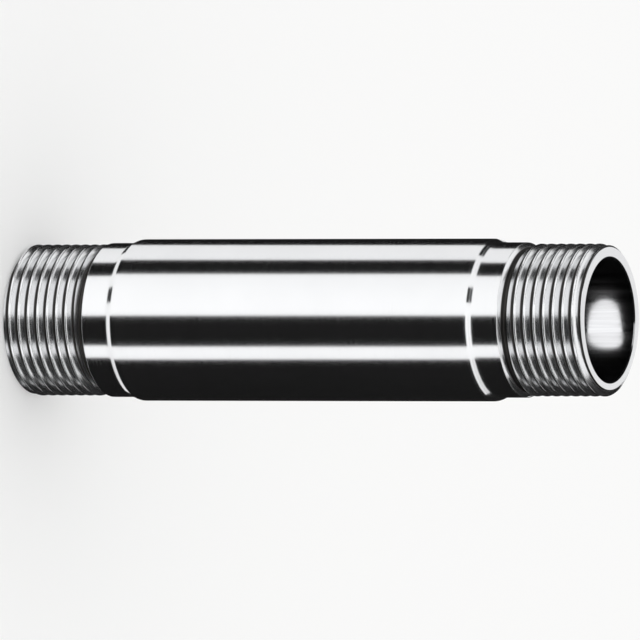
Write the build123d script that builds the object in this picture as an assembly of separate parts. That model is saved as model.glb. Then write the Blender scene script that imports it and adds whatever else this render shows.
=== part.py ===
from build123d import *
import math
import os

# A pipe nipple: one length of thick pipe, turned down and threaded alike at both ends.
# It stands on its lower end, with the origin at the centre of that end face and +Z up the bore.

# Driving dimensions, in millimetres.
overall_length = 110.0   # from end face to end face
pipe_diameter = 26.9     # the 3/4 pipe's own outside, which shows at the two necks
pipe_wall = 2.65         # from the pipe's outside to its bore
shoulder_height = 0.65   # by which the body stands out all round from the necks
shoulder_run = 1.4       # along the axis, over which each shoulder slopes
neck_length = 4.5        # from the thread to the foot of the shoulder
thread_length = 15.5     # from the end face to the neck, runout groove included
thread_skim = 0.2295     # turned off the pipe's radius, to the thread's 26.441 major diameter
thread_pitch = 1.814     # fourteen turns to the inch
end_chamfer = 0.6        # breaks the outer edge, where the thread starts
bore_chamfer = 0.2       # breaks the edge of the bore
runout_clearance = 0.2   # by which the runout groove's floor is wider than the thread's root

# The 55 degree pipe thread's form, for a pitch of one.
flank_angle = 27.5       # degrees, between each flank and the thread's radius
form_depth = 0.640327    # from crest to root
form_fillet = 0.137329   # radius of the rounded root
form_root = 1 / 6        # width of the root between the flanks, before it is rounded

# Radii and heights that follow.
neck_radius = pipe_diameter / 2
body_radius = neck_radius + shoulder_height
bore_radius = neck_radius - pipe_wall
thread_radius = neck_radius - thread_skim
root_radius = thread_radius - form_depth * thread_pitch
root_fillet = form_fillet * thread_pitch

shoulder_foot = thread_length + neck_length
shoulder_top = shoulder_foot + shoulder_run


def flank_run(height):
    """Length along the axis that a flank takes to climb that height."""
    return height * math.tan(math.radians(flank_angle))


def runout_groove():
    """Corners of the groove, as wide as the threading tool and its clearance, from the blank to the neck."""
    floor_top = thread_length - flank_run(neck_radius - root_radius)
    floor_foot = floor_top - form_root * thread_pitch - runout_clearance
    mouth = floor_foot - flank_run(thread_radius - root_radius)
    return [
        (thread_radius, mouth),
        (root_radius, floor_foot),
        (root_radius, floor_top),
        (neck_radius, thread_length),
    ]


def turned_end():
    """Corners of one end's outline, from the edge of the bore to the top of the shoulder."""
    return [
        (bore_radius + bore_chamfer, 0),
        (thread_radius - end_chamfer, 0),
        (thread_radius, end_chamfer),
        *runout_groove(),
        (neck_radius, shoulder_foot),
        (body_radius, shoulder_top),
    ]


def half_section():
    """The metal on one side of the axis, in the XZ plane."""
    lower = turned_end()
    upper = [(radius, overall_length - height) for radius, height in reversed(lower)]
    bore = [(bore_radius, overall_length - bore_chamfer), (bore_radius, bore_chamfer)]
    corners = [*lower, *upper, *bore]
    section = make_face(Polyline(*[(radius, 0, height) for radius, height in corners], close=True))
    groove_corners = [v for v in section.vertices() if math.isclose(v.X, root_radius)]
    return fillet(groove_corners, radius=root_fillet)


def nipple():
    """The half section turned once round the axis."""
    return revolve(half_section(), axis=Axis.Z)


os.makedirs("parts", exist_ok=True)
export_step(nipple(), "parts/nipple.step")
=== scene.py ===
import bmesh
import bpy
import difflib
import math
import numpy as np
from mathutils import Matrix, Vector


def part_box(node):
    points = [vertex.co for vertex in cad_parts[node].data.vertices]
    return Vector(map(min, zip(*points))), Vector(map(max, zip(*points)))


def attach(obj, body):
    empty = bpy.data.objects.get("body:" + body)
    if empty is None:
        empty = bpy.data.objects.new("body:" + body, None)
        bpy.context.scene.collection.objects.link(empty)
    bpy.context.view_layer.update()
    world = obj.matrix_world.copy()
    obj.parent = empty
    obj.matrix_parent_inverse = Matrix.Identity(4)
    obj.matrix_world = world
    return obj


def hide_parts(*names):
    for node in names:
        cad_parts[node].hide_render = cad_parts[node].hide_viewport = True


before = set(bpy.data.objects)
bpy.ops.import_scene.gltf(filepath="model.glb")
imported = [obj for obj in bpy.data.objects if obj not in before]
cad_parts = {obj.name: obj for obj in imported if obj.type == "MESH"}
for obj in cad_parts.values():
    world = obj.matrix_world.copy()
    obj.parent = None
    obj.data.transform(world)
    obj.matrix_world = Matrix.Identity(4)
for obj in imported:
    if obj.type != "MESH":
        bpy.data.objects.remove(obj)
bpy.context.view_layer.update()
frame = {"nodes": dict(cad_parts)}
mm = 0.001
scene = bpy.context.scene
print("frame loaded:", ", ".join(frame["nodes"]))


# The nipple, in millimetres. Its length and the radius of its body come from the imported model.

nippleTop = Vector(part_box("nipple")[1]) / mm
nippleLength = nippleTop.z
bodyRadius = nippleTop.x

nippleShape = {
    "columns": 240,            # round the circle
    "boreRadius": 10.8,
    "boreChamfer": 0.2,
    "neckRadius": 13.45,
    "neckLength": 4.5,
    "shoulderRun": 1.4,        # along the axis
    "endChamfer": 0.6,
    "threadRadius": 13.2205,   # over the crests
    "threadLength": 15.5,      # end face to neck, groove included
    "grooveClearance": 0.2,    # by which the runout groove's floor is wider than the thread's root
    "edgeBreak": 0.1,          # radius left on the turned edges
    "shoulderBlend": 2.0,      # radius at the top and the foot of each shoulder
    "blendSteps": 4,           # along each of those arcs
    "weld": 0.0005,            # within which two points are joined
    "sharpFrom": 28,           # degrees between two faces, from which their edge is sharp
}

threadForm = {
    "pitch": 1.814,
    "flankAngle": 27.5,        # degrees, from the radius
    "depth": 0.640327,         # this and the next two are shares of the pitch
    "rounding": 0.137329,      # radius of crest and of root
    "rootWidth": 1 / 6,
    "runsOutAt": 180,          # degrees round from +X, where the last turn has run into the groove
    "turnsBefore": 2,          # that the tool starts before the end face
    "arcSteps": 6,             # round each crest and each root
    "skim": 0.002,             # that the tool takes off the blank at the crests
    "tooClose": 0.012,         # under which two points of an outline are one
    "toolAway": 99,            # radius of the tool once it has left the groove
}

pitch = threadForm["pitch"]
threadDepth = threadForm["depth"] * pitch
rounding = threadForm["rounding"] * pitch
rootRadius = nippleShape["threadRadius"] - threadDepth


def blendedLine(corners):
    # corners are (z, r, radius of the blend there), and each blend becomes a few points on its arc
    steps = nippleShape["blendSteps"]
    line = []
    for i, (z, r, radius) in enumerate(corners):
        here = Vector((z, r))
        if not radius:
            line.append(here)
            continue
        back = (Vector(corners[i - 1][:2]) - here).normalized()
        on = (Vector(corners[i + 1][:2]) - here).normalized()
        half = back.angle(on) / 2
        centre = here + (back + on).normalized() * radius / math.sin(half)
        start = here + back * radius / math.tan(half) - centre
        end = here + on * radius / math.tan(half) - centre
        line += [centre + radius * start.slerp(end, step / steps) for step in range(steps + 1)]
    return [tuple(point) for point in line]


def blankEnd():
    # one end before it is threaded, from the rim of the end face to the body: (z, r) points
    shape = nippleShape
    slope = math.tan(math.radians(threadForm["flankAngle"]))
    floorTop = shape["threadLength"] - slope * (shape["neckRadius"] - rootRadius)
    floorFoot = floorTop - threadForm["rootWidth"] * pitch - shape["grooveClearance"]
    mouth = floorFoot - slope * (shape["threadRadius"] - rootRadius)
    shoulder = shape["threadLength"] + shape["neckLength"]
    line = blendedLine([
        (0, shape["boreRadius"] + shape["boreChamfer"], 0),
        (0, shape["threadRadius"] - shape["endChamfer"], shape["edgeBreak"]),
        (shape["endChamfer"], shape["threadRadius"], 0),
        (mouth, shape["threadRadius"], 0),
        (floorFoot, rootRadius, rounding),
        (floorTop, rootRadius, rounding),
        (shape["threadLength"], shape["neckRadius"], shape["edgeBreak"]),
        (shoulder, shape["neckRadius"], shape["shoulderBlend"]),
        (shoulder + shape["shoulderRun"], bodyRadius, shape["shoulderBlend"]),
        (nippleLength / 2, bodyRadius, 0),
    ])
    return line[1:], (floorFoot + floorTop) / 2


def onePitch():
    # the tool's path along one pitch, from the middle of a root to just before the next: (z, r)
    steps = threadForm["arcSteps"]
    crest = nippleShape["threadRadius"] - threadForm["skim"]
    root = rootRadius + threadForm["skim"]
    reach = math.radians(90 - threadForm["flankAngle"])
    angles = [reach * (2 * step / steps - 1) for step in range(steps + 1)]
    rootArc = [(rounding * math.sin(a), root + rounding * (1 - math.cos(a))) for a in angles]
    crestArc = [(pitch / 2 + rounding * math.sin(a), crest - rounding * (1 - math.cos(a))) for a in angles]
    middle = steps // 2
    return rootArc[middle:] + crestArc + [(z + pitch, r) for z, r in rootArc[:middle]]


blank, grooveMiddle = blankEnd()
toolPath = onePitch()


def toolRows(turned):
    # where the tool's path crosses a column that lies this share of a turn round: (z, r, key)
    firstTurn = -math.ceil(grooveMiddle / pitch) - threadForm["turnsBefore"]
    lastTurn = 0 if turned == 0 else -1      # at the first column the last root is in the groove's middle
    rows = []
    for turn in range(firstTurn, lastTurn + 1):
        start = grooveMiddle + pitch * (turn + turned)
        rows += [(start + z, r, ("row", turn, i)) for i, (z, r) in enumerate(toolPath)]
    return rows[:-threadForm["arcSteps"]]    # up to the middle of the last crest


def columnLine(turned):
    # what the tool leaves of the blank in one column, from the rim to the body: (z, r, key)
    rows = toolRows(turned)
    blankZ = [point[0] for point in blank]
    blankR = [point[1] for point in blank]
    stops = [(z, ("edge", 0, i)) for i, z in enumerate(blankZ)]
    stops += [(z, key) for z, r, key in rows if z > 0]
    stops.sort(key=lambda stop: stop[0])
    z = np.array([stop[0] for stop in stops])
    tool = np.interp(z, [row[0] for row in rows], [row[1] for row in rows], right=threadForm["toolAway"])
    stock = np.interp(z, blankZ, blankR)
    gap = tool - stock
    line = []
    for i, (here, key) in enumerate(stops):
        if i == 0 or (gap[i] < 0) == (key[0] == "row"):
            line.append((here, min(tool[i], stock[i]), key))
        if i + 1 < len(stops) and gap[i] * gap[i + 1] < 0:
            cross = here + (z[i + 1] - here) * gap[i] / (gap[i] - gap[i + 1])
            turn = math.floor((cross - grooveMiddle) / pitch - turned + 0.5)
            kind = "cut in" if gap[i] > 0 else "cut out"
            line.append((cross, float(np.interp(cross, blankZ, blankR)), (kind, turn, 0)))
    return line


def thinned(line):
    # drops one of two points that lie too close, and keeps the blank's own edge of the two
    kept = [line[0]]
    for point in line[1:]:
        near = math.dist(point[:2], kept[-1][:2]) < threadForm["tooClose"]
        if not near:
            kept.append(point)
        elif point[2][0] == "edge" and kept[-1][2][0] != "edge":
            kept[-1] = point
    return kept


def aTurnBack(key):
    # how the first column's points are known once the tool has gone round
    kind, turn, i = key
    return (kind, turn - 1, i) if kind in ("row", "cut in", "cut out") else key


def threadedHalf():
    # vertices and faces of half the nipple, standing on its threaded end
    radius, chamfer = nippleShape["boreRadius"], nippleShape["boreChamfer"]
    bore = [(nippleLength / 2, radius), (chamfer, radius), (0, radius + chamfer)]
    points = []
    columns = []
    for column in range(nippleShape["columns"]):
        turned = column / nippleShape["columns"]
        around = Matrix.Rotation(2 * math.pi * turned + math.radians(threadForm["runsOutAt"]), 3, "Z")
        whole = [(z, r, ("bore", 0, i)) for i, (z, r) in enumerate(bore)] + thinned(columnLine(turned))
        columns.append([(len(points) + i, key) for i, (z, r, key) in enumerate(whole)])
        points += [around @ Vector((r, 0, z)) for z, r, key in whole]
    columns.append([(index, aTurnBack(key)) for index, key in columns[0]])
    faces = []
    for here, there in zip(columns, columns[1:]):
        faces += stitched(here, there, points)
    return points, faces


def stitched(here, there, points):
    # faces between two columns: quads where both have the same points, triangles elsewhere
    faces = []
    a, b = 0, 0
    matcher = difflib.SequenceMatcher(None, [key for _, key in here], [key for _, key in there], False)
    for startA, startB, size in matcher.get_matching_blocks():
        endA, endB = (startA, startB) if size else (len(here) - 1, len(there) - 1)
        while a < endA or b < endB:
            corners = here[a][0], there[b][0]
            nextA = here[a + 1][0] if a < endA else None
            nextB = there[b + 1][0] if b < endB else None
            stepA = nextB is None or (nextA is not None and (points[nextA] - points[corners[1]]).length
                                      < (points[nextB] - points[corners[0]]).length)
            if stepA:
                faces.append((*corners, nextA))
                a += 1
            else:
                faces.append((*corners, nextB))
                b += 1
        for _ in range(size - 1):
            faces.append((here[a][0], there[b][0], there[b + 1][0], here[a + 1][0]))
            a += 1
            b += 1
    return faces


def threadedNipple():
    # two such halves, the upper one turned over, so that both threads are right-hand
    points, faces = threadedHalf()
    half = len(points)
    turnedOver = Matrix.Translation((0, 0, nippleLength)) @ Matrix.Rotation(math.pi, 4, "Y")
    points += [turnedOver @ point for point in points]
    faces += [[index + half for index in face] for face in faces]
    mesh = bpy.data.meshes.new("threadedNipple")
    mesh.from_pydata([point * mm for point in points], [], faces)
    solid = bmesh.new()
    solid.from_mesh(mesh)
    bmesh.ops.remove_doubles(solid, verts=solid.verts, dist=nippleShape["weld"] * mm)
    print("threads cut, open edges:", sum(not edge.is_manifold for edge in solid.edges))
    solid.to_mesh(mesh)
    solid.free()
    mesh.shade_smooth()
    mesh.set_sharp_from_angle(angle=math.radians(nippleShape["sharpFrom"]))
    nipple = bpy.data.objects.new("threadedNipple", mesh)
    scene.collection.objects.link(nipple)
    flatFlanks = nipple.modifiers.new("flatFlanks", "WEIGHTED_NORMAL")    # keeps flanks flat beside blends
    flatFlanks.keep_sharp = True
    return nipple


# Finishes. The tool's marks follow how far out and how far up a point lies, so they run round.

turnedFinish = {
    "colour": (0.78, 0.785, 0.795),
    "dull": (0.68, 0.685, 0.695),      # where the tool tore a little
    "cloudScale": 60,                  # of the patches between those two
    "markPitch": 0.16,                 # mm, the tool's feed
    "markDepth": 0.004,                # mm
    "roughness": (0.12, 0.2),
    "anisotropy": 0.45,
}

threadFinish = {
    "colour": (0.78, 0.785, 0.795),
    "paintedShade": (0.05, 0.048, 0.046),      # painted shade: near-black colour laid into the roots, where shade falls
    "paintedShadeRoughness": 0.45,
    "rootPaintedShade": (0.78, 0.93),          # shares of the thread's depth, between which the painted shade sets in
    "wallFilm": (0.6, 0.75),           # the same painted shade on the runout groove's neck side
    "markPitch": 0.12,
    "markDepth": 0.004,
    "roughness": (0.14, 0.26),
    "anisotropy": 0.3,
}

boreFinish = {
    "colour": (0.42, 0.425, 0.435),
    "dull": (0.3, 0.3, 0.305),
    "cloudScale": 900,
    "alongTheBore": 0.04,              # scale there against the scale across, as its marks are long
    "roughness": (0.1, 0.17),
    "anisotropy": 0,
}

anyFinish = {
    "cloudDetail": (4, 0.55),          # a noise's detail and roughness
    "drawnDetail": (4, 0.6),
    "markDetail": (3, 0.6),
    "noiseRange": (0.35, 0.65),        # of a noise's values, that roughness follows
    "bump": 0.4,
    "glossTurn": 0.25,                 # of a turn: the marks run round, so gloss spreads across
}


def addNode(tree, kind, sockets=None, **settings):
    # sockets gives inputs, by number or name, their value or their link
    node = tree.nodes.new(kind)
    for name, value in settings.items():
        setattr(node, name, value)
    for socket, value in (sockets or {}).items():
        if isinstance(value, bpy.types.NodeSocket):
            tree.links.new(value, node.inputs[socket])
        else:
            node.inputs[socket].default_value = value
    return node


def ranged(tree, value, low, high, newLow, newHigh):
    return addNode(tree, "ShaderNodeMapRange", {0: value, 1: low, 2: high, 3: newLow, 4: newHigh}).outputs[0]


def mixedColour(tree, share, first, second):
    sockets = {0: share, 6: (*first, 1), 7: (*second, 1)}
    return addNode(tree, "ShaderNodeMix", sockets, data_type="RGBA").outputs[2]


def noiseAt(tree, place, scale, detail):
    sockets = {"Vector": place, "Scale": scale, "Detail": detail[0], "Roughness": detail[1]}
    return addNode(tree, "ShaderNodeTexNoise", sockets).outputs[0]


def newMetal(name, finish):
    material = bpy.data.materials.new(name)
    material.use_nodes = True
    tree = material.node_tree
    shader = tree.nodes["Principled BSDF"]
    shader.inputs["Metallic"].default_value = 1
    shader.inputs["Base Color"].default_value = (*finish["colour"], 1)
    shader.inputs["Anisotropic"].default_value = finish["anisotropy"]
    if finish["anisotropy"]:
        around = addNode(tree, "ShaderNodeTangent", direction_type="RADIAL", axis="Z")
        tree.links.new(around.outputs[0], shader.inputs["Tangent"])
        shader.inputs["Anisotropic Rotation"].default_value = anyFinish["glossTurn"]
    place = addNode(tree, "ShaderNodeTexCoord").outputs["Object"]
    return material, tree, shader, place


def ringPlace(tree, place):
    # a point's distance from the axis, and that with its height, so that what is drawn there runs round
    parts = addNode(tree, "ShaderNodeSeparateXYZ", {0: place})
    across = addNode(tree, "ShaderNodeCombineXYZ", {0: parts.outputs[0], 1: parts.outputs[1]})
    out = addNode(tree, "ShaderNodeVectorMath", {0: across.outputs[0]}, operation="LENGTH").outputs["Value"]
    ring = addNode(tree, "ShaderNodeCombineXYZ", {0: out, 2: parts.outputs[2]})
    return out, ring.outputs[0]


def turningMarks(tree, shader, ring, finish):
    # fine rings that the tool leaves: they bump the surface, and their roughness is handed back
    marks = noiseAt(tree, ring, 1 / mm / finish["markPitch"] / 2, anyFinish["markDetail"])
    sockets = {"Strength": anyFinish["bump"], "Distance": finish["markDepth"] * mm, "Height": marks}
    bump = addNode(tree, "ShaderNodeBump", sockets)
    tree.links.new(bump.outputs[0], shader.inputs["Normal"])
    return ranged(tree, marks, *anyFinish["noiseRange"], *finish["roughness"])


def turnedSteel():
    finish = turnedFinish
    material, tree, shader, place = newMetal("turned steel", finish)
    out, ring = ringPlace(tree, place)
    rough = turningMarks(tree, shader, ring, finish)
    tree.links.new(rough, shader.inputs["Roughness"])
    cloud = noiseAt(tree, place, finish["cloudScale"], anyFinish["cloudDetail"])
    colour = mixedColour(tree, cloud, finish["colour"], finish["dull"])
    tree.links.new(colour, shader.inputs["Base Color"])
    return material


def cutThread(name, surface, paintedShadeDepths):
    # surface is the radius that the cut starts from, and the depths given after it are where painted shade
    # darkens the cut
    finish = threadFinish
    material, tree, shader, place = newMetal(name, finish)
    out, ring = ringPlace(tree, place)
    start, full = ((surface - depth * threadDepth) * mm for depth in paintedShadeDepths)
    # painted shade: the colour goes near black, and rougher, towards the deep part of the cut
    paintedShade = ranged(tree, out, start, full, 0, 1)
    rough = turningMarks(tree, shader, ring, finish)
    paintedShadeRough = addNode(tree, "ShaderNodeMix", {0: paintedShade, 2: rough, 3: finish["paintedShadeRoughness"]})
    tree.links.new(paintedShadeRough.outputs[0], shader.inputs["Roughness"])
    colour = mixedColour(tree, paintedShade, finish["colour"], finish["paintedShade"])
    tree.links.new(colour, shader.inputs["Base Color"])
    return material


def drawnBore():
    finish = boreFinish
    material, tree, shader, place = newMetal("drawn bore", finish)
    along = addNode(tree, "ShaderNodeVectorMath", {0: place, 1: (1, 1, finish["alongTheBore"])},
                    operation="MULTIPLY").outputs[0]
    cloud = noiseAt(tree, along, finish["cloudScale"], anyFinish["drawnDetail"])
    colour = mixedColour(tree, cloud, finish["colour"], finish["dull"])
    tree.links.new(colour, shader.inputs["Base Color"])
    rough = ranged(tree, cloud, *anyFinish["noiseRange"], *finish["roughness"])
    tree.links.new(rough, shader.inputs["Roughness"])
    return material


def finishAt(x, y, z):
    # which of the four finishes the nipple has there, in millimetres
    shape = nippleShape
    r = math.hypot(x, y)
    fromEnd = min(z, nippleLength - z)
    if r < shape["boreRadius"] + shape["boreChamfer"] / 2:
        return "drawn bore"
    threaded = shape["weld"] * 2 < fromEnd < shape["threadLength"]
    if threaded and r > shape["boreRadius"] + shape["boreChamfer"]:
        return "cut thread" if fromEnd < grooveMiddle else "groove wall"
    return "turned steel"


def giveFinishes(nipple):
    materials = nipple.data.materials
    materials.append(turnedSteel())
    # both thread materials carry painted shade in their deepest parts
    materials.append(cutThread("cut thread", nippleShape["threadRadius"], threadFinish["rootPaintedShade"]))
    materials.append(cutThread("groove wall", nippleShape["neckRadius"], threadFinish["wallFilm"]))
    materials.append(drawnBore())
    for face in nipple.data.polygons:
        face.material_index = materials.find(finishAt(*(face.center / mm)))


print("cutting the threads...")
nipple = threadedNipple()
print("giving it its finishes...")
giveFinishes(nipple)
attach(nipple, "root")
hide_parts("nipple")


# The picture, seen from -Y and above, with the camera lying on its side: the bore's axis runs level
# across it and the upper end is at the right.

picture = {
    "elevation": 24.5,         # degrees above the horizon
    "width": 111.3,            # mm across the picture, at the nipple
    "lens": 1000,              # mm, so long that level lines stay level
    "aim": (0, 0, 55),         # mm
    "farthest": 100,           # m, that the camera sees
}

studio = {
    "floorRadius": 12,         # m
    "floorCorners": 96,
    "floorColour": (0.955, 0.955, 0.95),
    "skyColour": (1, 1, 1),
    "backStrength": 0.955,           # what the camera sees beyond the floor
    "skyStrength": 1.0,
    "glossStrength": (1.38, 1.0),    # what the metal sees in front of the nipple and behind it
    "cardDistance": 2,         # m
    "cardGrid": (24, 12),      # faces across and up each card
    "cardColour": (0.01, 0.01, 0.01),
    "plainRoughness": 0.9,     # of floor and cards
}

# Black cards that stand round the nipple, and that only its own reflections see. Each stands where turned
# slopes mirror it to the camera, so it is given by where it shows: the degrees round, from the camera's side
# towards the top of the picture, and the slope's degrees, from straight out to straight up.
slopeCards = {
    "upperBand": ((34.5, 47.5), (-21, 21)),      # the three bands, which the steeper shoulders break
    "middleBand": ((-19, 3), (-21, 21)),
    "lowerBand": ((-92, -29), (-22, 22.5)),
    "topLine": ((67, 92), (-34, 34)),            # the line along their top, and its ticks
    "rightTopTick": ((53.5, 67), (21, 34)),
    "leftTopTick": ((56, 67), (-34, -20)),
    "rightTick": ((12.5, 24), (21.5, 34)),       # the short ticks between the bands
    "leftTick": ((12.5, 24), (-34, -20)),
    "rightLineEnd": ((-92, -68), (22.5, 34)),    # where the shoulders' white lines end
    "leftLineEnd": ((-80, -64), (-34, -22)),
    "threadTops": ((69, 118), (34, 68)),         # the threads' dark top and underside
    "threadFeet": ((-118, -48), (28.5, 76)),
    "threadFeetBack": ((-74, -49), (-50, -31)),
    "upperRim": ((24, 92), (39, 51)),            # the end chamfers' own bands
    "middleRim": ((-50, 3), (39, 51)),
    "lowerRim": ((-58, 58), (-51, -39)),
}

# More of them under the nipple, for what faces down. Given by their azimuths and elevations in degrees, seen
# from the nipple: azimuth 0 is the camera's side, and 90 is the top of the picture.
underCards = {
    "underLower": ((-180, -88), (-90, -70)),
    "underUpper": ((67, 97), (-90, -76)),
    "underCrown": ((140, 180), (-90, -70)),
}

# A small lamp inside the upper end of the bore, facing its far wall, which mirrors it as an oval glow.
boreLight = {
    "place": (-0.7, 4.2, 101.4),     # mm
    "size": (3.7, 6.6),              # mm, across and along the bore
    "power": 1.5e-4,                 # W
}


def lookAlong():
    # the camera's turn, and the way back to it from the nipple
    rise = math.radians(picture["elevation"])
    right = Vector((0, math.sin(rise), math.cos(rise)))
    up = Vector((-1, 0, 0))
    back = Vector((0, -math.cos(rise), math.sin(rise)))
    return Matrix((right, up, back)).transposed(), back


def makeCamera():
    data = bpy.data.cameras.new("camera")
    data.lens = picture["lens"]
    data.clip_end = picture["farthest"]
    turn, back = lookAlong()
    distance = picture["width"] * mm * data.lens / data.sensor_width
    camera = bpy.data.objects.new("camera", data)
    camera.matrix_world = Matrix.Translation(Vector(picture["aim"]) * mm + back * distance) @ turn.to_4x4()
    scene.collection.objects.link(camera)
    scene.camera = camera


def plainMaterial(name, colour):
    material = bpy.data.materials.new(name)
    material.use_nodes = True
    shader = material.node_tree.nodes["Principled BSDF"]
    shader.inputs["Base Color"].default_value = (*colour, 1)
    shader.inputs["Roughness"].default_value = studio["plainRoughness"]
    shader.inputs["Specular IOR Level"].default_value = 0
    return material


def stagePiece(name, points, faces, material):
    mesh = bpy.data.meshes.new(name)
    mesh.from_pydata(points, [], faces)
    mesh.materials.append(material)
    piece = bpy.data.objects.new(name, mesh)
    scene.collection.objects.link(piece)
    return piece


def makeFloor():
    corners = studio["floorCorners"]
    angles = [2 * math.pi * i / corners for i in range(corners)]
    points = [(studio["floorRadius"] * math.cos(angle), studio["floorRadius"] * math.sin(angle), 0)
              for angle in angles]
    floor = stagePiece("floor", points, [range(corners)], plainMaterial("pale floor", studio["floorColour"]))
    floor.visible_glossy = False


def wayTo(azimuth, elevation):
    azimuth, elevation = math.radians(azimuth), math.radians(elevation)
    return Vector((-math.sin(azimuth) * math.cos(elevation), -math.cos(azimuth) * math.cos(elevation),
                   math.sin(elevation)))


def mirroredWay(around, slope):
    # where the camera looks by way of a turned surface that faces there
    return (-lookAlong()[1]).reflect(wayTo(around, slope))


def makeCard(name, wayAt, across, up, material):
    # across and up are the two ranges that wayAt turns into the card's directions
    columns, rows = studio["cardGrid"]
    points = []
    for i in range(columns + 1):
        for j in range(rows + 1):
            way = wayAt(across[0] + (across[1] - across[0]) * i / columns,
                        up[0] + (up[1] - up[0]) * j / rows)
            points.append(Vector(picture["aim"]) * mm + way * studio["cardDistance"])
    faces = []
    for i in range(columns):
        for j in range(rows):
            corner = i * (rows + 1) + j
            faces.append((corner, corner + rows + 1, corner + rows + 2, corner + 1))
    card = stagePiece(name + "Card", points, faces, material)
    card.visible_camera = False
    card.visible_diffuse = False
    card.visible_shadow = False
    card.visible_transmission = False


def makeWorld():
    # the camera, the metal and the floor each see a sky of their own strength
    world = bpy.data.worlds.new("studio")
    world.use_nodes = True
    tree = world.node_tree
    background = tree.nodes["Background"]
    background.inputs["Color"].default_value = (*studio["skyColour"], 1)
    place = addNode(tree, "ShaderNodeTexCoord").outputs["Generated"]
    way = addNode(tree, "ShaderNodeSeparateXYZ", {0: place})
    ray = addNode(tree, "ShaderNodeLightPath")
    gloss = ranged(tree, way.outputs[1], -1, 1, *studio["glossStrength"])
    seen = ranged(tree, ray.outputs["Is Camera Ray"], 0, 1, studio["skyStrength"], studio["backStrength"])
    strength = ranged(tree, ray.outputs["Is Glossy Ray"], 0, 1, seen, gloss)
    tree.links.new(strength, background.inputs["Strength"])
    scene.world = world


def makeBoreLight():
    data = bpy.data.lights.new("boreLight", "AREA")
    data.shape = "ELLIPSE"
    data.size, data.size_y = (size * mm for size in boreLight["size"])
    data.energy = boreLight["power"]
    light = bpy.data.objects.new("boreLight", data)
    light.location = Vector(boreLight["place"]) * mm
    light.rotation_euler = (math.pi / 2, 0, 0)    # faces +Y
    light.visible_camera = False
    scene.collection.objects.link(light)


print("setting up the studio...")
makeCamera()
makeFloor()
makeBoreLight()
blackCard = plainMaterial("black card", studio["cardColour"])
for name, (around, slopes) in slopeCards.items():
    makeCard(name, mirroredWay, around, slopes, blackCard)
for name, (azimuths, elevations) in underCards.items():
    makeCard(name, wayTo, azimuths, elevations, blackCard)
makeWorld()
scene.view_settings.view_transform = "Standard"
